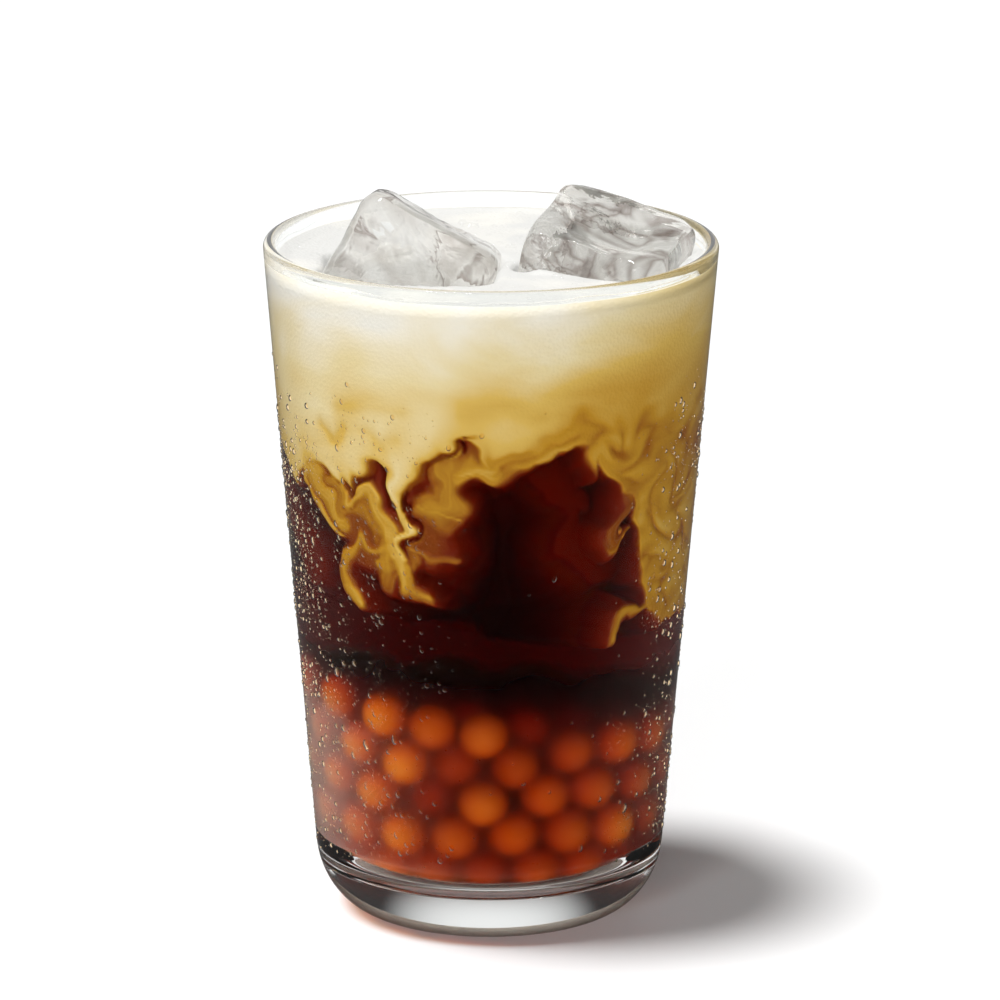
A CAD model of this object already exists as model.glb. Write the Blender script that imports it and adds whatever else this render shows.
"""The looks of the iced coffee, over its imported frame. Metres, +Z up, the front faces -Y.

A bearing is the angle round the tumbler's axis from the front, positive towards +X.
"""

import math
import random

import bmesh
import bpy
import numpy as np
from mathutils import Euler, Matrix, Vector, noise
from mathutils.bvhtree import BVHTree


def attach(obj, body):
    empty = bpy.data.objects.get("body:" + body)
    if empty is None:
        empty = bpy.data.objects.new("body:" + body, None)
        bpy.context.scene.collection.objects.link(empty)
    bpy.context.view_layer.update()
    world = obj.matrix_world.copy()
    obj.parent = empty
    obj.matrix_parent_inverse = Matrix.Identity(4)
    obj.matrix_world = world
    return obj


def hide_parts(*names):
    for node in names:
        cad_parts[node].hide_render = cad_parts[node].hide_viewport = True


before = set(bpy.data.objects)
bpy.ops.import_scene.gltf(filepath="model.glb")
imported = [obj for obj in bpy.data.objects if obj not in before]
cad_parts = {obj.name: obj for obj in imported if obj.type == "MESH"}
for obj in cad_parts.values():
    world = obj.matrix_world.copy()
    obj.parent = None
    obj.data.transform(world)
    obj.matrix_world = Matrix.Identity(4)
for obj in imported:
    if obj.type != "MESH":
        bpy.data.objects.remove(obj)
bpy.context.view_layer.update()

# The tumbler
RIM_RADIUS = 0.043
HEIGHT = 0.1302
TAPER = 0.0837
WALL = 0.0024
FOOT_THICKNESS = 0.0092
HEEL_REACH = 0.0099
HEEL_RISE = 0.0129
CORNER_RADIUS = 0.0080
PUNT_RADIUS = 0.0190
PUNT_DEPTH = 0.0016

# How many sides a round piece has
SIDES = 160

# How much glass, water and ice bend light, and the glass's tint
GLASS_IOR = 1.5
WATER_IOR = 1.33
ICE_IOR = 1.31
GLASS_TINT = (0.965, 0.98, 0.97)

# How far each liquid reaches into the glass, so that no air shows between them
COFFEE_IN_GLASS = 0.00015
CREAM_IN_GLASS = 0.00025

# The foam's level, the coffee's top under the cream, and the cream's lowest point
LEVEL = HEIGHT - 0.0036
COFFEE_TOP = 0.1085
CREAM_LOW = 0.0560

# How far from the axis the cream reaches in the middle of the coffee, from its lowest point up
HEART_HEIGHTS = (0.0560, 0.0597, 0.0640, 0.0735, 0.0830, 0.0905, 0.0960, 0.0980)
HEART_RADII = (0.0005, 0.0030, 0.0080, 0.0130, 0.0185, 0.0236, 0.0285, 0.0300)

# What coffee takes from red, green and blue light, per metre
COFFEE_TAKES = (57.0, 170.0, 360.0)

# The coffee's haze: its roughness among the pearls between two places along X, its roughness over the
# pearls, the heights between which it changes, and how uneven that change is
HAZE_SIDES = (-0.028, 0.004)
HAZE_AMONG_PEARLS = (0.85, 0.57)
HAZE_OVER_PEARLS = 0.20
HAZE_HEIGHTS = (0.047, 0.062)
HAZE_UNEVEN = 0.012

# The meeting line of cream and coffee at the wall: bearing in degrees, height in millimetres
MEETING_LINE = (
    (-180, 96), (-168, 92), (-158, 86), (-148, 92), (-138, 98), (-130, 88), (-120, 90), (-108, 95),
    (-96, 97.5), (-87, 94.5), (-80, 91), (-72, 88.5), (-68.6, 87.6), (-65, 91), (-62, 93), (-55, 93),
    (-50, 92), (-43, 90.5), (-38, 92.5), (-33, 94.5), (-30, 92), (-28.8, 90.6), (-27.8, 88),
    (-26.6, 85.5), (-25.4, 88), (-24.4, 89.4), (-22, 90.5), (-20.5, 92), (-17.6, 94.4), (-16, 97),
    (-13.7, 98.6), (-8, 99.4), (-3.7, 98), (0, 96.5), (8, 96), (12.7, 97.2), (18.2, 98.8),
    (23.5, 99), (29, 97.6), (31.4, 95.4), (36.9, 94.8), (40, 92), (44.5, 86.3), (47, 80), (48.3, 74),
    (53.7, 68.7), (55, 64), (58.7, 62.5), (68, 60), (77, 58.6), (87, 60), (95, 66), (101, 80),
    (107, 92), (118, 97), (128, 90), (140, 84), (152, 92), (166, 99),
)

# Strands of cream in the coffee at the wall: points as bearing and height in millimetres, half width
# in millimetres, depth behind the glass in millimetres, stain from 0 for cream to 1 for coffee
STRANDS = (
    (((-56, 88), (-44, 82.5), (-34, 77)), 4.0, 1.5, 0.34),
    (((-30, 90), (-23, 84.5), (-17, 80)), 3.6, 1.8, 0.36),
    (((-61, 91.5), (-57, 88.6), (-52, 85.6), (-45, 83.6)), 2.2, 0.1, 0.18),
    (((-64, 92.5), (-62, 87.5), (-56, 83), (-49, 80.8)), 0.5, 0.0, 0.14),
    (((-52, 91), (-46, 88), (-40, 85.2), (-34, 82.4)), 1.5, 0.3, 0.30),
    (((-47, 90.5), (-40, 89), (-34, 86), (-30, 81.5), (-27.4, 76.5), (-25, 71.5)), 1.3, 0.0, 0.14),
    (((-42, 90.4), (-36, 88), (-31, 84), (-27.5, 79), (-26, 74)), 0.5, 0.0, 0.08),
    (((-35, 86), (-32, 83), (-31, 78), (-32, 74.5)), 1.2, 0.2, 0.22),
    (((-28, 90), (-26.8, 84), (-26.4, 80), (-25.4, 76.5)), 0.7, 0.0, -0.02),
    (
        ((-27, 79), (-33, 79.4), (-39, 78.6), (-45, 75.8), (-48, 72.4), (-46.6, 69), (-41.8, 66.4)),
        1.15, 0.2, 0.22,
    ),
    (((-46.6, 69), (-41.8, 66.4)), 0.9, 0.0, 0.14),
    (((-26, 76), (-30.5, 74), (-32, 72)), 1.5, 0.5, 0.32),
    (((-24.6, 74.2), (-23, 70.6), (-18, 70.2)), 0.9, 0.0, 0.26),
    (((-22.5, 80.3), (-18, 78.2), (-11, 78)), 0.7, 0.4, 0.32),
    (((-22, 82), (-21.5, 78.5), (-22.5, 75)), 0.7, 0.5, 0.34),
    (((-19.8, 85.6), (-17.4, 83.2), (-13, 83.4), (-11.2, 85.4)), 1.2, 0.6, 0.38),
    (((-19, 86), (-15, 86), (-11, 86.1)), 0.35, 0.0, 0.24),
    (((-12.2, 97), (-12, 92), (-13.8, 88.5), (-16.5, 86.2)), 2.6, 0.15, 0.26),
    (((-8, 95), (-2, 94.6), (4, 96), (10, 98)), 1.6, 0.0, 0.18),
    (((47, 90), (43, 86), (39, 82), (37, 79.6)), 1.3, 0.8, 0.38),
    (((44, 80), (40, 79.8), (36, 79.2)), 0.5, 0.3, 0.30),
    (((57, 66.4), (52, 65.4), (46, 65), (42, 63.6), (39.8, 61.4), (39.2, 59.4)), 0.75, 0.1, 0.28),
    (((31.5, 97), (34.5, 95.6), (37.5, 96)), 1.4, 0.0, 0.14),
    (((-92, 84), (-80, 79), (-68, 72)), 5.0, 5.0, 0.73),
    (((18, 93), (28, 88)), 3.5, 10.0, 0.28),
    (((28, 80), (36, 76), (42, 74)), 4.0, 9.5, 0.28),
    (((104, 92), (110, 82), (106, 74)), 4.0, 1.6, 0.34),
    (((112, 92), (118, 84), (114, 76), (120, 70)), 1.6, 0.1, 0.20),
    (((118, 84), (124, 80), (123, 74), (127, 71)), 0.8, 0.2, 0.24),
    (((130, 88), (140, 78), (144, 68)), 4.2, 1.7, 0.36),
    (((134, 88), (142, 78), (136, 70), (144, 66)), 1.5, 0.1, 0.20),
    (((142, 80), (149, 77), (150, 71), (145, 69)), 0.8, 0.2, 0.24),
    (((150, 92), (148, 82), (156, 74)), 1.6, 0.3, 0.30),
    (((-176, 90), (-166, 80), (-160, 72)), 4.2, 1.6, 0.34),
    (((-172, 92), (-164, 82), (-170, 74), (-162, 68)), 1.6, 0.1, 0.18),
    (((-164, 83), (-158, 79), (-157, 73)), 0.7, 0.2, 0.24),
    (((-170, 76), (-176, 73), (-174, 68)), 0.9, 0.3, 0.26),
    (((-152, 90), (-146, 82), (-150, 76)), 1.6, 0.4, 0.32),
    (((-138, 88), (-133, 77), (-128, 71)), 4.0, 1.6, 0.36),
    (((-135, 88), (-127, 79), (-134, 72), (-128, 67)), 1.5, 0.1, 0.20),
    (((-128, 81), (-122, 79), (-119, 75)), 0.8, 0.2, 0.24),
    (((-108, 94), (-102, 89), (-106, 85)), 1.3, 0.3, 0.30),
)

# Narrow dark folds in the cream: points, half width in millimetres, depth in millimetres
FOLDS = (
    (((-46, 91), (-41, 91), (-37.5, 92.8), (-33.5, 94), (-31.5, 92), (-31, 88.5)), 0.7, 3.5),
    (
        (
            (-24.4, 88), (-21, 91.8), (-18, 94), (-16.2, 97), (-13.7, 99), (-9, 100.2), (-6.6, 99.2),
            (-8, 98.2),
        ),
        0.45,
        3.2,
    ),
    (((-7, 98.4), (-4, 99.2), (-3, 100)), 0.35, 2.4),
    (((-24.5, 88), (-23, 84), (-23.6, 80)), 0.5, 3.0),
    (((-45, 105.5), (-35, 107), (-25, 106)), 1.8, 0.5),
    (((-8, 107), (3, 108), (13, 106)), 1.6, 0.4),
    (((-53, 101), (-47, 98), (-43, 101)), 1.3, 0.6),
    (((-36, 101), (-31, 98.5), (-26, 100.5)), 1.2, 0.4),
    (((2, 97), (8, 98.8), (14, 101), (20, 103.6), (25, 105)), 0.8, 0.5),
    (((4, 95.6), (11, 98), (17, 100.3), (23, 101)), 0.6, 0.7),
    (((25.6, 103.7), (28.7, 102), (28, 98.6), (30.2, 96.7)), 0.6, 0.5),
    (((35, 102), (36.5, 99.5), (34.3, 98.2)), 0.5, 0.5),
    (((45.6, 101.9), (51.3, 99.8), (49.6, 96.9), (45, 96.9), (42.9, 93.4), (45.3, 90)), 0.7, 0.5),
    (((57.6, 98.8), (64, 98), (70.8, 96), (80, 92)), 0.8, 0.4),
    (((52, 82.4), (56.4, 80.2), (65, 76.4), (80, 74)), 0.7, 0.6),
    (((53, 90), (52, 86), (56.4, 80.2)), 0.6, 0.5),
    (((60, 92), (66, 89), (72, 90), (78, 86)), 0.6, 0.5),
    (((66, 88), (70, 83), (67, 79), (72, 74)), 0.6, 0.7),
    (((84, 94), (80, 89), (86, 84), (82, 79)), 0.7, 0.6),
    (((60, 74), (65, 71), (62, 67), (66, 64)), 0.6, 0.7),
    (((76, 70), (81, 67), (88, 70), (90, 76)), 0.7, 0.6),
    (((50, 74), (54, 72.6), (57, 74)), 0.5, 0.6),
    (((56, 69), (60, 70.5), (65, 68.5)), 0.5, 0.6),
)

# Swirls that wind up the strands: bearing, height in millimetres, reach in millimetres, turn in degrees
SWIRLS = (
    (-39, 73, 3.0, -40), (-21, 76, 3.0, 30), (-8, 98.8, 3.0, -70), (34, 99, 4.0, 60),
    (41, 80, 3.5, -60), (47, 66, 3.5, 40), (46, 98, 4.0, -45), (60, 88, 6.0, 60), (52, 92, 3.5, -80),
    (38, 97, 3.5, 80), (67, 81, 4.5, -70), (58, 73, 3.5, 70), (74, 90, 5.0, -70), (70, 68, 4.0, 60),
    (116, 80, 6.0, 60), (140, 76, 6.0, -70), (-166, 78, 7.0, 70), (-131, 77, 6.0, -60),
    (-104, 90, 4.0, 50),
)

# The radius in millimetres at which strands and swirls are laid out
MIXING_RADIUS = 37.5
MM_PER_DEGREE = math.radians(1) * MIXING_RADIUS

# The stirring: heights in millimetres where it starts and is full, how many small swirls it has, and
# its waves, each with its seed, size and reach
STIRRED_BELOW = (112, 102)
SMALL_SWIRLS = 110
STIRRING_WAVES = ((3, 12, 0.5), (5, 5, 0.28), (7, 2.2, 0.05))

# The height over which no coffee has mixed in, and how sharply strands melt into one another
MIXING_TOP = 0.1060
MELTING = 2.2

# How fast the sheet of cream draws in from the wall under the meeting line, and strands at their sides
SHEET_FALL = (2.4, 0.25)
STRAND_ROUND = 0.55
STRAND_FALL = 1.3

# Where the cream ends under the coffee's swirls: height in millimetres and how fast it draws in, for the
# column on the right and for the rest
COLUMN_END = (60, 3.0)
REST_END = (67, 0.35)

# The cream's stain: by a millimetre of coffee over it, in folds, deep in the coffee, at the least, and
# by height, which is in millimetres
VEIL_STAIN = 0.11
FOLD_STAIN = 0.07
DEEP_STAIN = 0.55
LEAST_STAIN = 0.065
STAIN_BY_HEIGHT = ((100, 110, 117.7, 124, 127.5), (0.30, 0.27, 0.18, 0.08, 0.06))

# The camera, fitted to the photographed tumbler
CAMERA_TARGET = Vector((0, 0, 0.0645))
CAMERA_DISTANCE = 1.462
CAMERA_ELEVATION = 15.64
CAMERA_ROLL = 0.175
CAMERA_LENS = 276.5
CAMERA_SHIFT = (0.010, 0.076)

# The pearls, their heap's height in the middle, its tilt along X, and the gap to the floor
PEARL_RADIUS = 0.0046
PEARL_COUNT = 158
HEAP_HEIGHT = 0.0455
HEAP_TILT = -0.13
PEARL_GAP = 0.0001

# How they settle: where they start, their reach against their radius, in how many steps, how far they
# sink at first and at the end, and how much of an overlap each step takes away
PEARLS_WITHIN = 0.027
PEARLS_BETWEEN = (0.014, 0.052)
PEARL_REACH = PEARL_RADIUS * 1.04
SETTLING_STEPS = 420
FAST_STEPS = 300
FAST_SINK = 0.00010
SLOW_SINK = 0.00003
PEARL_PUSH = 0.35

# Condensation: how many drops, their least and greatest radius, how far they rise against it, and the
# heights between which they lie
DROP_COUNT = 8000
DROP_SIZES = (0.00011, 0.00062)
DROP_RISE = 0.5
DROPS_BETWEEN = (0.008, 0.116)

# A drop that has run down, half the width of its track, and the grid on which drops keep clear
TRACK_DROP_SIZE = 0.0007
TRACK_HALF_WIDTH = 0.0011
DROP_CELL = 0.0022

# The bubbles on the foam: their number, least radius and height against it
BUBBLE_COUNT = 420
BUBBLE_SIZE = 0.00020
BUBBLE_RISE = 0.7

# A drop's or bubble's rings, as shares of its radius and height
CAP_SIDES = 8
CAP_RINGS = ((1.0, -0.02), (0.74, 0.68))

# The sunk piece of ice: bearing in degrees and height in metres
SUNK_ICE_BEARING = 40.5
SUNK_ICE_HEIGHT = 0.0800

# How far the wet edge climbs over the foam, and how uneven it is in large and in small
FILM_HEIGHT = 0.0016
FILM_WAVES = (0.0010, 0.0003)

# The lamps: name, way from the object to it, strength, and its width in degrees
LAMPS = (
    ("key", (-0.20, -0.05, 0.97), 3.25, 13),
    ("front", (-0.15, -0.90, 0.40), 0.9, 40),
    ("spark", (-0.35, -0.75, 0.55), 0.3, 12),
)

# How far the floor reaches from the middle
FLOOR_REACH = 6.0

# The grid on which the ice's pockets in the foam are measured, and the deepest that counts
POCKETS_REACH = 0.040
POCKET_STEP = 0.0005
DEEPEST_POCKET = 0.0172

# The foam's rings, as shares of the tumbler's inner radius
FOAM_RINGS = np.linspace(0.985, 0.03, 42)

# The ice: the same cubes as the frame's, in more detail. The seed keeps their ripples the same
ICE_SEED = 3
ICE_RIPPLE = 0.0007
ICE_RIPPLE_SIZE = 0.011
ICE_STREAKS = (
    (0.30, (0.93, 0.93, 0.92)),
    (0.43, (0.84, 0.83, 0.81)),
    (0.475, (0.26, 0.21, 0.19)),
    (0.51, (0.88, 0.87, 0.85)),
    (0.60, (0.66, 0.62, 0.59)),
    (0.68, (0.94, 0.94, 0.93)),
)
ICE_CUBES = {
    "ice_cube_left": {
        "size": (0.0300, 0.0260, 0.0300),
        "corner": 0.0058,
        "place": (-0.0163, -0.0085, 0.1232),
        "turn": (-12, 28, -8),
        "shade": 1.0,
        "hollows": (0.0010, 0.0012, 0.0016, 0.0010, 0.0010, 0.0016),
    },
    "ice_cube_right": {
        "size": (0.0285, 0.0280, 0.0290),
        "corner": 0.0052,
        "place": (0.0206, 0.0002, 0.1213),
        "turn": (9, 13, -18),
        "shade": 0.93,
        "hollows": (-0.0032, 0.0008, 0.0010, 0.0010, 0.0010, 0.0034),
    },
}


def at_bearing(radius, bearing, height):
    return Vector((radius * math.sin(bearing), -radius * math.cos(bearing), height))


def outer_radius(height):
    return RIM_RADIUS - TAPER * (HEIGHT - height)


def inner_radius(height):
    """The radius of the tumbler's inside, with the rounded corner over its floor."""
    height = np.asarray(height, float)
    over_corner = np.clip(CORNER_RADIUS - (height - FOOT_THICKNESS), 0, CORNER_RADIUS)
    corner = CORNER_RADIUS - np.sqrt(CORNER_RADIUS**2 - over_corner**2)
    return outer_radius(height) - WALL - corner


def smoothstep(low, high, value):
    share = np.clip((value - low) / (high - low), 0.0, 1.0)
    return share * share * (3 - 2 * share)


def band(value, rise, fall):
    """1 within a band of values and 0 outside it, with soft ends."""
    return smoothstep(*rise, value) * smoothstep(*fall, value)


class Nodes:
    """A short way to add and link shader nodes."""

    def __init__(self, owner, output="ShaderNodeOutputMaterial"):
        owner.use_nodes = True
        self.owner = owner
        self.tree = owner.node_tree
        self.tree.nodes.clear()
        self.output = self.add(output)

    def add(self, kind, values=None, **settings):
        node = self.tree.nodes.new(kind)
        for key, value in settings.items():
            setattr(node, key, value)
        for key, value in (values or {}).items():
            self.put(node.inputs[key], value)
        return node

    def put(self, socket, value):
        if isinstance(value, bpy.types.NodeSocket):
            self.tree.links.new(value, socket)
        else:
            socket.default_value = value

    def math(self, operation, first, second=0.0):
        node = self.add("ShaderNodeMath", operation=operation)
        self.put(node.inputs[0], first)
        self.put(node.inputs[1], second)
        return node.outputs[0]

    def ramp(self, factor, stops):
        node = self.add("ShaderNodeValToRGB")
        self.put(node.inputs[0], factor)
        elements = node.color_ramp.elements
        while len(elements) < len(stops):
            elements.new(0.5)
        for element, (place, color) in zip(elements, stops):
            element.position = place
            element.color = (*color, 1)
        return node.outputs[0]

    def place(self):
        return self.add("ShaderNodeTexCoord").outputs["Object"]

    def clouds(self, place, scale, detail, distortion=0.0):
        values = {"Vector": place, "Scale": scale, "Detail": detail, "Distortion": distortion}
        return self.add("ShaderNodeTexNoise", values).outputs[0]

    def bump(self, height, strength, distance):
        values = {"Height": height, "Strength": strength, "Distance": distance}
        return self.add("ShaderNodeBump", values).outputs[0]

    def map_range(self, value, places, results, **settings):
        values = {0: value, 1: places[0], 2: places[1], 3: results[0], 4: results[1]}
        return self.add("ShaderNodeMapRange", values, **settings).outputs[0]

    def lamps_pass(self, shader):
        """Lets lamplight through clear matter, as light that it focuses takes too long to find."""
        path = self.add("ShaderNodeLightPath")
        either = self.math("MAXIMUM", path.outputs["Is Shadow Ray"], path.outputs["Is Diffuse Ray"])
        open_way = self.add("ShaderNodeBsdfTransparent")
        mix = self.add("ShaderNodeMixShader", {0: either, 1: shader, 2: open_way.outputs[0]})
        return mix.outputs[0]

    def finish(self, surface, volume=None):
        self.tree.links.new(surface, self.output.inputs["Surface"])
        if volume:
            self.tree.links.new(volume, self.output.inputs["Volume"])
        return self.owner


def clear_material(name, ior, roughness=0.0, color=(1, 1, 1), takes=None, gloss=1.0, detail=None):
    """Clear matter, with the light that it takes per metre as a volume."""
    nodes = Nodes(bpy.data.materials.new(name))
    values = {
        "Base Color": (*color, 1),
        "Roughness": roughness,
        "IOR": ior,
        "Transmission Weight": 1.0,
        "Specular Tint": (gloss, gloss, gloss, 1),
    }
    shader = nodes.add("ShaderNodeBsdfPrincipled", values)
    for socket, value in (detail(nodes) if detail else {}).items():
        nodes.put(shader.inputs[socket], value)
    volume = None
    if takes:
        density = max(takes)
        left = [1 - share / density for share in takes]
        values = {"Color": (*left, 1), "Density": density}
        volume = nodes.add("ShaderNodeVolumeAbsorption", values).outputs[0]
    return nodes.finish(nodes.lamps_pass(shader.outputs[0]), volume)


def add_piece(name, vertices, faces, material, slot, node):
    """A smooth mesh that replaces a node of the frame. Water on the drink has no slot."""
    mesh = bpy.data.meshes.new(name)
    mesh.from_pydata([tuple(v) for v in vertices], [], faces)
    mesh.update()
    mesh.shade_smooth()
    mesh.materials.append(material)
    piece = bpy.data.objects.new(name, mesh)
    bpy.context.scene.collection.objects.link(piece)
    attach(piece, "root")
    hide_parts(node)
    return piece


def set_values(piece, name, values):
    """Keeps a number for each vertex, for the piece's material."""
    layer = piece.data.attributes.new(name, "FLOAT", "POINT")
    layer.data.foreach_set("value", np.array(values, np.float32))


def arc(center_radius, center_height, reach, rise, start, end, steps):
    for step in range(steps + 1):
        angle = math.radians(start + (end - start) * step / steps)
        yield center_radius + reach * math.cos(angle), center_height + rise * math.sin(angle)


def tumbler_profile():
    """(radius, height) from the middle of the foot's underside, up the outside and down the inside."""
    foot_radius = outer_radius(0) - HEEL_REACH
    punt = [(PUNT_RADIUS * k / 10, PUNT_DEPTH * (1 - (k / 10) ** 2)) for k in range(11)]
    heel = [
        (radius + TAPER * height, height)
        for radius, height in arc(foot_radius, HEEL_RISE, HEEL_REACH, HEEL_RISE, -90, 0, 20)
    ]
    lip_radius = WALL / 2
    lip_height = HEIGHT - lip_radius
    wall = [(outer_radius(h), h) for h in np.linspace(HEEL_RISE, lip_height, 14)[1:-1]]
    lip = arc(outer_radius(lip_height) - lip_radius, lip_height, lip_radius, lip_radius, 0, 180, 14)
    corner_top = FOOT_THICKNESS + CORNER_RADIUS
    inside = [(outer_radius(h) - WALL, h) for h in np.linspace(lip_height, corner_top, 12)[1:-1]]
    corner_center = outer_radius(corner_top) - WALL - CORNER_RADIUS
    corner = arc(corner_center, corner_top, CORNER_RADIUS, CORNER_RADIUS, 0, -90, 12)
    floor = [(corner_center * share, FOOT_THICKNESS) for share in (0.6, 0.3, 0.0)]
    return [*punt, *heel, *wall, *lip, *inside, *corner, *floor]


def turned(profile):
    """Vertices and faces of a profile turned round the Z axis, on which it starts and ends."""
    vertices = [Vector((0, 0, profile[0][1]))]
    for radius, height in profile[1:-1]:
        vertices.extend(at_bearing(radius, math.tau * side / SIDES, height) for side in range(SIDES))
    vertices.append(Vector((0, 0, profile[-1][1])))
    faces = []
    rings = len(profile) - 2
    last = len(vertices) - 1
    for side in range(SIDES):
        after = (side + 1) % SIDES
        faces.append((0, 1 + after, 1 + side))
        end = 1 + (rings - 1) * SIDES
        faces.append((last, end + side, end + after))
        for ring in range(rings - 1):
            low = 1 + ring * SIDES
            faces.append((low + side, low + after, low + SIDES + after, low + SIDES + side))
    return vertices, faces


def make_tumbler():
    def ripple(nodes):
        return {"Normal": nodes.bump(nodes.clouds(nodes.place(), 60.0, 1.0), 0.15, 0.0003)}

    vertices, faces = turned(tumbler_profile())
    material = clear_material("clear_glass", GLASS_IOR, color=GLASS_TINT, gloss=0.04, detail=ripple)
    add_piece("tumbler", vertices, faces, material, "glass", "glass")


def coffee_profile():
    """(radius, height) from the middle of the coffee's underside to the middle of its top."""
    low = FOOT_THICKNESS - COFFEE_IN_GLASS
    heights = [low + (CORNER_RADIUS + COFFEE_IN_GLASS) * (k / 14) ** 2 for k in range(1, 15)]
    heights += list(np.linspace(heights[-1], COFFEE_TOP, 16)[1:])
    sides = [(float(inner_radius(h)) + COFFEE_IN_GLASS, h) for h in heights]
    flat = float(inner_radius(FOOT_THICKNESS))
    return [(0.0, low), (flat * 0.6, low), (flat, low), *sides, (0.0, COFFEE_TOP)]


def make_coffee():
    """The coffee: it fills the inside of the tumbler up into the cream."""

    def haze(nodes):
        place = nodes.place()
        axes = nodes.add("ShaderNodeSeparateXYZ", {0: place}).outputs
        low = nodes.map_range(axes["X"], HAZE_SIDES, HAZE_AMONG_PEARLS)
        cloud = nodes.clouds(place, 110.0, 1.0)
        height = nodes.math("ADD", axes["Z"], nodes.math("MULTIPLY", cloud, HAZE_UNEVEN))
        return {"Roughness": nodes.map_range(height, HAZE_HEIGHTS, (low, HAZE_OVER_PEARLS))}

    vertices, faces = turned(coffee_profile())
    material = clear_material("dark_coffee", WATER_IOR, takes=COFFEE_TAKES, gloss=0.0, detail=haze)
    add_piece("dark_coffee", vertices, faces, material, "coffee", "coffee")


def waves(seed, x, y, size, count=14):
    """Soft random waves over a grid, from -1 to 1 or so."""
    rng = random.Random(seed)
    total = np.zeros_like(x)
    for _ in range(count):
        turn = rng.uniform(0, math.tau)
        length = size * rng.uniform(0.6, 1.7)
        phase = rng.uniform(0, math.tau)
        total += np.sin(math.tau * (x * math.cos(turn) + y * math.sin(turn)) / length + phase)
    return total / math.sqrt(count)


def wrapped(bearing):
    """The same bearing between -180 and 180 degrees."""
    return (bearing + 180) % 360 - 180


def near_strand(points, b, h):
    """Distance from a strand, the way along it and the offset to its side, in millimetres."""
    closest = np.full(b.shape, 1e3)
    along = np.zeros(b.shape)
    aside = np.zeros(b.shape)
    run = 0.0
    for (b0, h0), (b1, h1) in zip(points, points[1:]):
        x = wrapped(b - b0) * MM_PER_DEGREE
        y = h - h0
        dx, dy = (b1 - b0) * MM_PER_DEGREE, h1 - h0
        length = math.hypot(dx, dy)
        t = np.clip((x * dx + y * dy) / length**2, 0, 1)
        far = np.hypot(x - t * dx, y - t * dy)
        here = far < closest
        closest = np.where(here, far, closest)
        along = np.where(here, run + t * length, along)
        aside = np.where(here, (x * dy - y * dx) / length, aside)
        run += length
    return closest, along, aside


def wall_spot(bearing):
    turn = np.radians(bearing)
    return MIXING_RADIUS * np.sin(turn), MIXING_RADIUS * np.cos(turn)


def small_swirls(seed, count):
    """Random swirls near the meeting line, as in SWIRLS."""
    rng = random.Random(seed)
    bearings, levels = zip(*sorted(MEETING_LINE))
    for _ in range(count):
        bearing = rng.uniform(-180, 180)
        level = float(np.interp(bearing, bearings, levels)) + rng.uniform(-13, 4)
        yield bearing, level, rng.uniform(1.2, 3.4), rng.choice((-1, 1)) * rng.uniform(30, 95)


def stirred(bearing, height):
    """Where the stuff at each place came from before the drink was stirred: degrees and millimetres."""
    b = bearing.copy()
    h = height * 1000
    stir = smoothstep(*STIRRED_BELOW, h)
    for center, level, reach, turn in [*small_swirls(21, SMALL_SWIRLS), *SWIRLS]:
        x = wrapped(b - center) * MM_PER_DEGREE
        y = h - level
        angle = np.radians(turn) * np.exp(-(x * x + y * y) / reach**2)
        b = b + (x * np.cos(angle) - y * np.sin(angle) - x) / MM_PER_DEGREE
        h = h + (x * np.sin(angle) + y * np.cos(angle) - y)
    x, y = wall_spot(bearing)
    for seed, size, much in STIRRING_WAVES:
        shake = waves(seed, x + y * 0.7, h, size) * much * stir
        lift = waves(seed + 1, x - y * 0.7, h, size) * much * stir
        b, h = b + shake / MM_PER_DEGREE, h + lift
    return b, h


def sheet_stain(bearing, b, h, meeting):
    """The stain of the sheet of cream at the wall, stronger on the right and towards its lower edge."""
    around = wrapped(bearing)
    right = band(around, (8, 55), (150, 90))
    left = band(around, (-50, -80), (-160, -115)) * smoothstep(120, 104, h)
    paler = band(around, (0, -30), (-110, -70)) * (0.03 + 0.07 * smoothstep(119, 109, h))
    amber = 0.08 * band(around, (10, 28), (62, 40)) * band(h, (118, 109), (96, 102))
    streaked = band(around, (20, 40), (120, 95)) * smoothstep(110, 100, h)
    along = b * MM_PER_DEGREE
    streaks = waves(61, along * 0.8 + h * 0.4, h * 1.3 - along * 0.3, 6.0, 10)
    side = right * np.interp(h, (82, 96, 110), (0.20, 0.27, 0.15)) + 0.06 * left + amber - paler
    x, y = wall_spot(bearing)
    clouds = waves(31, x * 0.7 + y * 0.5, h * 1.6, 17.0)
    return 0.09 * smoothstep(9, -1, h - meeting) + side + 0.045 * streaks * streaked + 0.016 * clouds


def strand_field(number, strand, b, h):
    """How deep a strand lies behind the glass, in millimetres, and its stain."""
    points, half_width, depth, stain = strand
    away, along, aside = near_strand(points, b, h)
    share = away / half_width
    depth = depth + STRAND_ROUND * share**2 + np.clip(away - half_width, 0, None) * STRAND_FALL
    streak = waves(50 + number, aside * 2.4, along * 0.22, 2.6, 8)
    return depth, stain + 0.05 * streak / (1 + (half_width / 2.5) ** 4) + 0.06 * share**2


def sheet_field(bearing, b, h):
    """How deep the sheet of cream lies behind the glass, in millimetres, and its stain."""
    bearings, levels = zip(*sorted(MEETING_LINE))
    first = bearings[0]
    meeting = np.interp((b - first) % 360 + first, [*bearings, first + 360], [*levels, levels[0]])
    below = np.clip(meeting - h, 0, None)
    depth = below * SHEET_FALL[0] + SHEET_FALL[1] * below**2
    return depth, sheet_stain(bearing, b, h, meeting) + below * 0.12


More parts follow.
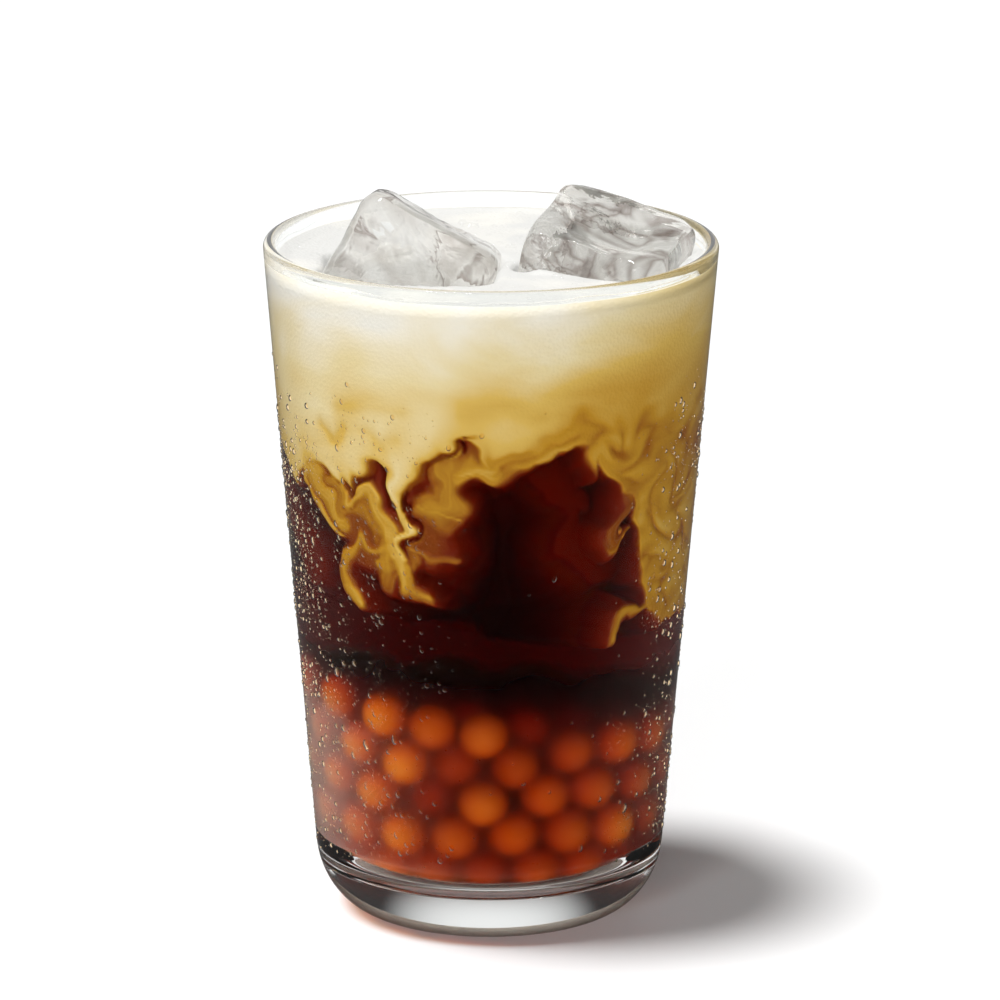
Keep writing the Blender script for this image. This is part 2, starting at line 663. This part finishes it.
def closed_below(bearing, h, depth):
    """Draws the cream in from the wall at its lower end, where the right column hangs lowest."""
    right = band(bearing, (25, 33), (104, 94))
    depth = depth + (1 - right) * REST_END[1] * np.clip(REST_END[0] - h, 0, None) ** 2
    return depth + right * COLUMN_END[1] * np.clip(COLUMN_END[0] - h, 0, None) ** 2


def mixing_fields(bearing, height):
    """How deep the cream lies behind the glass, in metres, and how much coffee stains it there."""
    b, h = stirred(bearing, height)
    fields = [sheet_field(bearing, b, h)]
    fields += [strand_field(number, strand, b, h) for number, strand in enumerate(STRANDS)]
    depths, stains = (np.array(values) for values in zip(*fields))
    weight = np.exp(-MELTING * (depths - depths.min(0)))
    depth = np.clip(depths.min(0) - np.log(weight.sum(0)) / MELTING, 0, None)
    stain = (weight * stains).sum(0) / weight.sum(0)
    for points, half_width, fold in FOLDS:
        away = near_strand(points, b, h)[0]
        depth = depth + fold * np.exp(-((away / half_width) ** 2))
        stain = stain + FOLD_STAIN * fold**0.5 * np.exp(-((away / (half_width * 2.5)) ** 2))
    depth = closed_below(bearing, h, depth)
    stain = stain + VEIL_STAIN * np.minimum(depth, 6)
    stain = stain + (DEEP_STAIN - stain) * smoothstep(6, 14, depth)
    depth = 0.3 * depth + 0.7 * np.clip(depth - 2, 0, None) ** 2 / (depth + 2)
    stain = stain + np.interp(h, *STAIN_BY_HEIGHT)
    fade = smoothstep(MIXING_TOP, MIXING_TOP - 0.003, height)
    return depth * 0.001 * fade, np.maximum(stain, LEAST_STAIN)


def cream_grid():
    """Bearings in degrees, closer together at the front, and heights from the foam down."""
    front = np.linspace(-90, 90, 401)
    back = np.linspace(90, 270, 172)
    top = np.linspace(LEVEL, MIXING_TOP, 11)
    low = np.linspace(MIXING_TOP, CREAM_LOW, 122)
    return np.concatenate([front, back[1:-1]]), np.concatenate([top, low[1:]])


def ice_pockets(blocks):
    """How deep the ice reaches under the foam's level, on a square grid, evened out at its edges."""
    places = np.arange(-POCKETS_REACH, POCKETS_REACH + POCKET_STEP, POCKET_STEP)
    depths = np.zeros((len(places), len(places)))
    for block in blocks:
        mesh = block.data
        corners = [v.co for v in mesh.vertices]
        tree = BVHTree.FromPolygons(corners, [p.vertices[:] for p in mesh.polygons])
        for row, y in enumerate(places):
            for column, x in enumerate(places):
                top = tree.ray_cast(Vector((x, y, LEVEL + 0.04)), Vector((0, 0, -1)))[0]
                if top and top.z > LEVEL:
                    bottom = tree.ray_cast(Vector((x, y, LEVEL - 0.04)), Vector((0, 0, 1)))[0]
                    depths[row, column] = min(LEVEL - bottom.z, DEEPEST_POCKET)
    spread = np.array((1, 2, 3, 2, 1)) / 9
    for _ in range(2):
        for axis in (0, 1):
            depths = np.apply_along_axis(np.convolve, axis, depths, spread, "same")
    return depths


def pocket_depth(point, pockets):
    """How deep the foam is pressed in at a point."""
    across, along = ((value + POCKETS_REACH) / POCKET_STEP for value in point.xy)
    column, row = int(across), int(along)
    u, v = across - column, along - row
    near, far = pockets[row : row + 2, column : column + 2]
    return (near[0] * (1 - u) + near[1] * u) * (1 - v) + (far[0] * (1 - u) + far[1] * u) * v


def foam_level(point):
    """The height of the foam away from the ice: it climbs at the wall."""
    out = point.xy.length / float(inner_radius(LEVEL))
    return LEVEL + 0.0002 * noise.noise(point / 0.011) + 0.0006 * float(smoothstep(0.93, 1.0, out))


def cream_side(bearings, heights):
    """Points of the cream's side in rows from the foam down, and their stains."""
    b, h = np.meshgrid(bearings, heights)
    depth, stain = mixing_fields(b, h)
    radius = inner_radius(h) + CREAM_IN_GLASS - depth
    radius = np.maximum(radius, np.interp(h, HEART_HEIGHTS, HEART_RADII))
    turn = np.radians(b)
    points = np.stack([radius * np.sin(turn), -radius * np.cos(turn), h], -1).reshape(-1, 3)
    for point in points[: len(bearings)]:
        point[2] = foam_level(Vector(point[:2]).to_3d())
    return points, stain.reshape(-1)


def foam_points(bearings, pockets):
    """Points of the foam in rings, from the wall to the middle."""
    rim = float(inner_radius(LEVEL)) + CREAM_IN_GLASS
    for share in FOAM_RINGS:
        for turn in np.radians(bearings):
            point = at_bearing(rim * share, turn, 0)
            point.z = foam_level(point) - pocket_depth(point, pockets)
            yield point


def cream_material():
    """White foam at the top, tan further down, and amber to brown where coffee has mixed in."""
    nodes = Nodes(bpy.data.materials.new("milk_cream"))
    place = nodes.place()
    flat = nodes.add("ShaderNodeMapping", {"Vector": place, "Scale": (1, 1, 2.0)}).outputs[0]
    cloud = nodes.clouds(flat, 30.0, 3.0, 1.6)
    uneven = nodes.math("MULTIPLY", nodes.math("SUBTRACT", cloud, 0.5), 0.17)
    stain = nodes.add("ShaderNodeAttribute", attribute_name="stain").outputs["Fac"]
    total = nodes.math("ADD", stain, uneven)
    stops = (
        (0.00, (0.73, 0.725, 0.70)),
        (0.04, (0.86, 0.84, 0.78)),
        (0.09, (0.89, 0.825, 0.68)),
        (0.20, (0.80, 0.66, 0.36)),
        (0.34, (0.69, 0.45, 0.10)),
        (0.52, (0.50, 0.25, 0.016)),
        (0.72, (0.28, 0.085, 0.004)),
        (1.00, (0.17, 0.012, 0.001)),
    )
    color = nodes.ramp(total, stops)
    grain = nodes.add("ShaderNodeTexVoronoi", {"Vector": place, "Scale": 1500.0}).outputs["Distance"]
    bump = nodes.bump(grain, 0.25, 0.0003)
    values = {"Base Color": color, "Roughness": 0.5, "Specular IOR Level": 0.1, "Normal": bump}
    shader = nodes.add("ShaderNodeBsdfPrincipled", values)
    return nodes.finish(shader.outputs[0])


def make_cream(pockets):
    """The cream: its side follows the mixing with the coffee, and its top is the foam."""
    bearings, heights = cream_grid()
    columns, rows = len(bearings), len(heights)
    side, stain = cream_side(bearings, heights)
    top = list(foam_points(bearings, pockets))
    vertices = [*side, *top, (0, 0, foam_level(Vector((0, 0, 0)))), (0, 0, CREAM_LOW)]

    grid = np.arange(rows * columns).reshape(rows, columns)
    tops = rows * columns + np.arange(len(top)).reshape(len(FOAM_RINGS), columns)
    sheet = np.concatenate([tops[::-1], grid])
    faces = []
    for upper, lower in zip(sheet, sheet[1:]):
        ahead_up, ahead_low = np.roll(upper, -1), np.roll(lower, -1)
        faces.extend(np.stack([upper, lower, ahead_low, ahead_up], 1).tolist())
    middle = len(vertices) - 2
    first, last = sheet[0], sheet[-1]
    faces.extend([middle, int(a), int(c)] for a, c in zip(first, np.roll(first, -1)))
    faces.extend([middle + 1, int(c), int(a)] for a, c in zip(last, np.roll(last, -1)))

    piece = add_piece("cream", vertices, faces, cream_material(), "cream", "milk_cream")
    foam = [0.0] * (len(vertices) - len(side))
    set_values(piece, "stain", [*stain, *foam])


def push_apart(spots):
    """Moves pearls that overlap away from each other."""
    same = np.eye(len(spots))
    gap = spots[:, None] - spots[None]
    far = np.sqrt((gap**2).sum(-1)) + same
    push = np.clip(2 * PEARL_REACH - far, 0, None) * (1 - same)
    spots += (gap / far[..., None] * push[..., None]).sum(1) * PEARL_PUSH


def keep_inside(spots, off_wall):
    """Moves pearls back inside the floor, the wall and the heap's top."""
    spots[:, 2] = np.maximum(spots[:, 2], FOOT_THICKNESS + PEARL_REACH + PEARL_GAP)
    out = np.hypot(spots[:, 0], spots[:, 1])
    most = np.full(len(spots), 1.0)
    for away in np.linspace(-1, 0.2, 9):
        level = np.maximum(spots[:, 2] + away * PEARL_REACH, FOOT_THICKNESS)
        most = np.minimum(most, inner_radius(level) - PEARL_REACH * math.sqrt(1 - away**2))
    most -= off_wall * smoothstep(-0.020, 0.006, spots[:, 0])
    spots[:, :2] *= np.minimum(1, most / np.maximum(out, 1e-6))[:, None]
    top = HEAP_HEIGHT + HEAP_TILT * spots[:, 0] - PEARL_REACH + 0.0012
    spots[:, 2] = np.minimum(spots[:, 2], top)


def settled_pearls():
    """Middles of pearls that have sunk to the floor and come to rest against the wall and each other."""
    rng = np.random.default_rng(4)
    count = PEARL_COUNT
    turn = rng.uniform(0, math.tau, count)
    out = np.sqrt(rng.uniform(0, 1, count)) * PEARLS_WITHIN
    spots = np.stack([out * np.cos(turn), out * np.sin(turn), rng.uniform(*PEARLS_BETWEEN, count)], 1)
    off_wall = 0.0002 + 0.0026 * rng.uniform(0, 1, count) ** 1.5
    for step in range(SETTLING_STEPS):
        spots[:, 2] -= FAST_SINK if step < FAST_STEPS else SLOW_SINK
        for _ in range(2):
            push_apart(spots)
            keep_inside(spots, off_wall)
    return spots


def unit_ball(detail):
    """Points and faces of a ball with a radius of 1."""
    ball = bmesh.new()
    bmesh.ops.create_icosphere(ball, subdivisions=detail, radius=1.0)
    faces = np.array([[v.index for v in f.verts] for f in ball.faces])
    points = np.array([v.co for v in ball.verts])
    ball.free()
    return points, faces


def pearl_material():
    """Amber to orange, by each pearl's own number."""
    nodes = Nodes(bpy.data.materials.new("pearls"))
    own = nodes.add("ShaderNodeAttribute", attribute_name="own").outputs["Fac"]
    stops = ((0.0, (0.46, 0.085, 0.002)), (0.5, (0.60, 0.14, 0.003)), (1.0, (0.76, 0.23, 0.006)))
    values = {"Base Color": nodes.ramp(own, stops), "Roughness": 0.4, "Specular IOR Level": 0.05}
    return nodes.finish(nodes.add("ShaderNodeBsdfPrincipled", values).outputs[0])


def make_pearls():
    """The pearls, with finer meshes near the wall and brighter ones on the left."""
    rng = random.Random(9)
    fine, coarse = unit_ball(3), unit_ball(2)
    vertices, all_faces, shades = [], [], []
    for spot in settled_pearls():
        at_wall = float(inner_radius(spot[2])) - math.hypot(spot[0], spot[1]) < 0.0100
        shape, faces = fine if at_wall else coarse
        turn = np.array(Euler([rng.uniform(0, 6) for _ in range(3)]).to_matrix())
        size = PEARL_RADIUS * rng.uniform(0.96, 1.0)
        all_faces.extend((faces + len(vertices)).tolist())
        vertices.extend((shape * (1, 1, rng.uniform(0.95, 1.0))) @ turn.T * size + spot)
        bright = 0.55 * float(smoothstep(0.0, -0.018, spot[0]))
        shades.extend([bright + rng.uniform(0, 1 - bright)] * len(shape))
    piece = add_piece("pearls", vertices, all_faces, pearl_material(), "pearl", "pearl_bed")
    set_values(piece, "own", shades)


def ice_point(share, cube):
    """Where a point of the unit cube lies on a half-melted ice cube."""
    half = Vector(cube["size"]) / 2
    corner = cube["corner"]
    spot = Vector(s * h for s, h in zip(share, half))
    core = Vector(max(corner - h, min(h - corner, s)) for s, h in zip(spot, half))
    point = core + (spot - core).normalized() * corner
    for axis in range(3):
        across, along = (share[other] for other in range(3) if other != axis)
        hollow = cube["hollows"][2 * axis + (share[axis] > 0)]
        depth = hollow * (1 - across**2) * (1 - along**2) * abs(share[axis]) ** 3
        point[axis] -= math.copysign(depth, share[axis])
    where = point / ICE_RIPPLE_SIZE + Vector(cube["place"]) * 100
    fine = noise.noise_vector(point / 0.0045) * 0.00025
    return point + ICE_RIPPLE * noise.noise_vector(where) + fine


def ice_material(name, shade):
    """Clear ice with milky and grey streaks where it has cracked and melted."""

    def melt(nodes):
        place = nodes.place()
        bump = nodes.bump(nodes.clouds(place, 95.0, 3.0, 0.8), 0.8, 0.0014)
        streaks = nodes.clouds(place, 33.0, 3.0, 1.6)
        color = nodes.ramp(streaks, [(share, np.multiply(color, shade)) for share, color in ICE_STREAKS])
        return {"Normal": bump, "Base Color": color}

    return clear_material(name, ICE_IOR, 0.02, detail=melt)


def make_ice(name):
    cube = ICE_CUBES[name]
    grid = bmesh.new()
    bmesh.ops.create_cube(grid, size=2)
    bmesh.ops.subdivide_edges(grid, edges=grid.edges, cuts=31, use_grid_fill=True)
    grid.verts.ensure_lookup_table()
    turn = Euler([math.radians(angle) for angle in cube["turn"]]).to_matrix()
    vertices = [turn @ ice_point(v.co, cube) + Vector(cube["place"]) for v in grid.verts]
    faces = [[v.index for v in face.verts] for face in grid.faces]
    grid.free()
    block = name.replace("cube", "block")
    return add_piece(block, vertices, faces, ice_material(block, cube["shade"]), "ice", name)


def wall_axes(bearing):
    """Directions along, up and out of the tumbler's wall, for a bearing in radians."""
    along = Vector((math.cos(bearing), math.sin(bearing), 0))
    out = Vector((math.sin(bearing), -math.cos(bearing), -TAPER)).normalized()
    return along, out.cross(along) * -1, out


def add_cap(caps, place, axes, size, rise, stretch, rng):
    """A round cap that stands on a surface. caps holds the vertices and faces of one piece."""
    vertices, faces = caps
    start = len(vertices)
    along, up, out = axes
    lean = rng.uniform(0, math.tau)
    sides = CAP_SIDES
    for share, level in CAP_RINGS:
        for side in range(sides):
            angle = math.tau * side / sides + lean
            reach = size * share * (1 + 0.09 * math.sin(2 * angle + lean * 3))
            spot = along * math.cos(angle) + up * math.sin(angle) * stretch
            vertices.append(place + spot * reach + out * (size * rise * level))
    vertices.append(place + out * (size * rise))
    for side in range(sides):
        after = (side + 1) % sides
        faces.append((start + side, start + after, start + sides + after, start + sides + side))
        faces.append((start + sides + side, start + sides + after, start + 2 * sides))


def clear_tracks(rng):
    """Where drops have run down the tumbler: bearing in degrees, top and bottom height in metres."""
    for bearing in (-52, -41, -30, 48, *(rng.uniform(75, 270) for _ in range(9))):
        yield bearing, rng.uniform(0.085, 0.105), rng.uniform(0.025, 0.055)


def drop_density(bearing, height):
    """How closely drops lie on the glass, from 0 to 1: most of all low on the left."""
    left = smoothstep(-6, -38, bearing) * smoothstep(0.114, 0.088, height)
    right = 0.5 * smoothstep(30, 55, bearing) * smoothstep(0.112, 0.098, height)
    middle = 0.02 * smoothstep(0.11, 0.09, height)
    return float(max(left, right, middle)) * float(smoothstep(0.012, 0.020, height))


def is_wiped(bearing, height, tracks):
    """Whether a place lies on a track that a drop has wiped clear."""
    across = math.radians(1) * outer_radius(height)
    return any(
        abs(wrapped(bearing - track)) * across < TRACK_HALF_WIDTH and low < height < top
        for track, top, low in tracks
    )


def is_taken(spot, size, cell, taken):
    """Whether a drop would run into another. taken holds each cell's drops."""
    column, row = cell
    return any(
        math.dist(spot, other[:2]) < (size + other[2]) * 1.02
        for i in (-1, 0, 1)
        for j in (-1, 0, 1)
        for other in taken.get((column + i, row + j), ())
    )


def make_condensation(material):
    """Drops on the glass, in patches, with clear tracks where some have run down."""
    rng = random.Random(5)
    tracks = list(clear_tracks(rng))
    caps = ([], [])
    taken = {}
    count = 0
    while count < DROP_COUNT:
        bearing = rng.uniform(-180, 180)
        height = rng.uniform(*DROPS_BETWEEN)
        patch = 0.5 + 0.9 * noise.noise(at_bearing(0.04, math.radians(bearing), height) / 0.011)
        if rng.random() > drop_density(bearing, height) * min(1, max(0.12, patch)):
            continue
        size = DROP_SIZES[0] * (DROP_SIZES[1] / DROP_SIZES[0]) ** (rng.random() ** 2.6)
        spot = (bearing * (math.radians(1) * outer_radius(height)), height)
        cell = tuple(int(value // DROP_CELL) for value in spot)
        if is_wiped(bearing, height, tracks) or is_taken(spot, size, cell, taken):
            continue
        taken.setdefault(cell, []).append((*spot, size))
        turn = math.radians(bearing)
        place = at_bearing(outer_radius(height), turn, height)
        stretch = 1 + rng.uniform(0, 0.5) * size / DROP_SIZES[1]
        add_cap(caps, place, wall_axes(turn), size, DROP_RISE, stretch, rng)
        count += 1
    for bearing, _, low in tracks:
        turn = math.radians(bearing)
        place = at_bearing(outer_radius(low), turn, low)
        add_cap(caps, place, wall_axes(turn), TRACK_DROP_SIZE, DROP_RISE, 1.6, rng)
    add_piece("condensation", *caps, material, None, "glass")


def make_bubbles(material, pockets):
    """Small bubbles on the foam, most of them by the wall and the ice."""
    rng = random.Random(12)
    caps = ([], [])
    axes = (Vector((1, 0, 0)), Vector((0, 1, 0)), Vector((0, 0, 1)))
    rim = float(inner_radius(LEVEL))
    add_cap(caps, Vector((-0.0040, 0.0265, LEVEL)), axes, 0.0019, 0.5, 1.0, rng)
    count = 0
    while count < BUBBLE_COUNT:
        share = 1 - rng.random() ** 2.2
        place = at_bearing(share * (rim - 0.0006), rng.uniform(0, math.tau), 0)
        place.z = foam_level(place)
        if pocket_depth(place, pockets) > 0.0001:
            continue
        size = BUBBLE_SIZE * (6 ** (rng.random() ** 2.5))
        add_cap(caps, place, axes, size, BUBBLE_RISE, 1.0, rng)
        count += 1
    add_piece("foam_bubbles", *caps, material, None, "milk_cream")


def make_wet_film(material):
    """The wet edge that the drink left on the wall over its level, with a wavy top."""
    sides = 200
    rows = ((0.0, 0.00022), (0.45, 0.00020), (0.8, 0.00024), (0.97, 0.00014), (1.0, -0.00008))
    vertices = []
    for share, thick in rows:
        for side in range(sides):
            turn = math.tau * side / sides
            wave = noise.noise(at_bearing(0.036, turn, 0) / 0.010)
            fine = noise.noise(at_bearing(0.036, turn, 0) / 0.004)
            height = LEVEL + share * (FILM_HEIGHT + FILM_WAVES[0] * wave + FILM_WAVES[1] * fine)
            vertices.append(at_bearing(float(inner_radius(height)) - thick, turn, height))
    faces = []
    for row in range(len(rows) - 1):
        for side in range(sides):
            after = (side + 1) % sides
            low, high = row * sides, (row + 1) * sides
            faces.append((low + after, low + side, high + side, high + after))
    add_piece("wet_film", vertices, faces, material, None, "glass")


def sunk_ice_material():
    """Amber grains over dark brown, as small bubbles that cling to the ice."""
    nodes = Nodes(bpy.data.materials.new("sunk_ice"))
    grain = nodes.clouds(nodes.place(), 420.0, 2.0, 1.5)
    stops = ((0.35, (0.30, 0.05, 0.003)), (0.5, (0.85, 0.32, 0.03)), (0.66, (1.0, 0.78, 0.3)))
    values = {"Base Color": nodes.ramp(grain, stops), "Roughness": 0.25}
    return nodes.finish(nodes.add("ShaderNodeBsdfPrincipled", values).outputs[0])


def make_sunk_ice():
    """The corner of a sunk piece of ice that touches the wall on the right."""
    along, up, out = wall_axes(math.radians(SUNK_ICE_BEARING))
    reach = float(inner_radius(SUNK_ICE_HEIGHT)) - 0.0016
    middle = at_bearing(reach, math.radians(SUNK_ICE_BEARING), SUNK_ICE_HEIGHT)
    grid = bmesh.new()
    bmesh.ops.create_icosphere(grid, subdivisions=4, radius=1.0)
    vertices = []
    for vertex in grid.verts:
        x, y, z = vertex.co
        narrow = 0.25 + 0.75 * float(smoothstep(1.0, -0.9, y))
        rough = 1 + 0.12 * noise.noise(vertex.co * 1.6)
        spot = along * (x * narrow * 0.0024) + up * (y * 0.0021) + out * (z * narrow * 0.0014)
        vertices.append(middle + spot * rough)
    faces = [[v.index for v in f.verts] for f in grid.faces]
    grid.free()
    add_piece("sunk_ice", vertices, faces, sunk_ice_material(), "ice", "coffee")


def add_lamp(name, way, strength, spread):
    """A far soft light. way points from the object to it, and spread is its width in degrees."""
    light = bpy.data.lights.new(name, "SUN")
    light.energy = strength
    light.angle = math.radians(spread)
    lamp = bpy.data.objects.new(name, light)
    bpy.context.scene.collection.objects.link(lamp)
    lamp.rotation_euler = Vector(way).to_track_quat("Z", "Y").to_euler()
    lamp.location = Vector(way)


def floor_material():
    """A pale floor that stays dim in mirror reflections."""
    nodes = Nodes(bpy.data.materials.new("floor"))
    path = nodes.add("ShaderNodeLightPath")
    mirrored = nodes.math("SUBTRACT", path.outputs["Is Reflection Ray"], path.outputs["Is Diffuse Ray"])
    color = nodes.ramp(mirrored, ((0.0, (0.9, 0.9, 0.9)), (1.0, (0.05, 0.05, 0.05))))
    shader = nodes.add("ShaderNodeBsdfPrincipled", {"Base Color": color, "Roughness": 0.6})
    return nodes.finish(shader.outputs[0])


def make_floor():
    corners = [(-1, -1, 0), (1, -1, 0), (1, 1, 0), (-1, 1, 0)]
    floor_mesh = bpy.data.meshes.new("floor")
    floor_mesh.from_pydata([Vector(corner) * FLOOR_REACH for corner in corners], [], [(0, 1, 2, 3)])
    floor_mesh.materials.append(floor_material())
    floor = bpy.data.objects.new("floor", floor_mesh)
    bpy.context.scene.collection.objects.link(floor)


def make_world():
    """A studio that is bright behind and over the object, and dim on the camera's side."""
    world = bpy.data.worlds.new("studio")
    bpy.context.scene.world = world
    nodes = Nodes(world, "ShaderNodeOutputWorld")
    way = nodes.add("ShaderNodeTexCoord").outputs["Generated"]
    axes = nodes.add("ShaderNodeSeparateXYZ", {0: way}).outputs
    behind = nodes.map_range(axes["Y"], (0.80, 0.97), (0.04, 0.92), interpolation_type="SMOOTHSTEP")
    above = nodes.map_range(axes["Z"], (0.5, 0.95), (0.0, 0.12), interpolation_type="SMOOTHSTEP")
    light = nodes.math("MAXIMUM", behind, above)
    seen = nodes.add("ShaderNodeLightPath").outputs["Is Camera Ray"]
    strength = nodes.math("MAXIMUM", light, seen)
    background = nodes.add("ShaderNodeBackground", {"Color": (1, 1, 1, 1), "Strength": strength})
    nodes.finish(background.outputs[0])


def make_camera():
    camera = bpy.data.cameras.new("camera")
    camera.lens = CAMERA_LENS
    camera.sensor_width = 36
    camera.shift_x, camera.shift_y = CAMERA_SHIFT
    camera.clip_start, camera.clip_end = 0.05, 50
    elevation = math.radians(CAMERA_ELEVATION)
    back = Vector((0, -math.cos(elevation), math.sin(elevation)))
    eye = bpy.data.objects.new("camera", camera)
    bpy.context.scene.collection.objects.link(eye)
    look = (-back).to_track_quat("-Z", "Y").to_matrix().to_4x4()
    roll = Matrix.Rotation(math.radians(CAMERA_ROLL), 4, "Z")
    eye.matrix_world = Matrix.Translation(CAMERA_TARGET + back * CAMERA_DISTANCE) @ look @ roll
    bpy.context.scene.camera = eye


def set_view():
    scene = bpy.context.scene
    scene.view_settings.view_transform = "Standard"
    scene.view_settings.look = "None"
    scene.cycles.max_bounces = 16
    scene.cycles.transmission_bounces = 14
    scene.cycles.transparent_max_bounces = 24
    scene.cycles.glossy_bounces = 6
    scene.cycles.diffuse_bounces = 4


make_camera()
set_view()
make_floor()
for lamp_values in LAMPS:
    add_lamp(*lamp_values)
make_world()
make_tumbler()
make_coffee()
noise.seed_set(ICE_SEED)
pockets = ice_pockets([make_ice(name) for name in ICE_CUBES])
make_cream(pockets)
make_pearls()
make_sunk_ice()
water = clear_material("water", WATER_IOR)
make_condensation(clear_material("dew", WATER_IOR, color=(1.0, 0.76, 0.46), gloss=0.12))
make_bubbles(water, pockets)
make_wet_film(water)
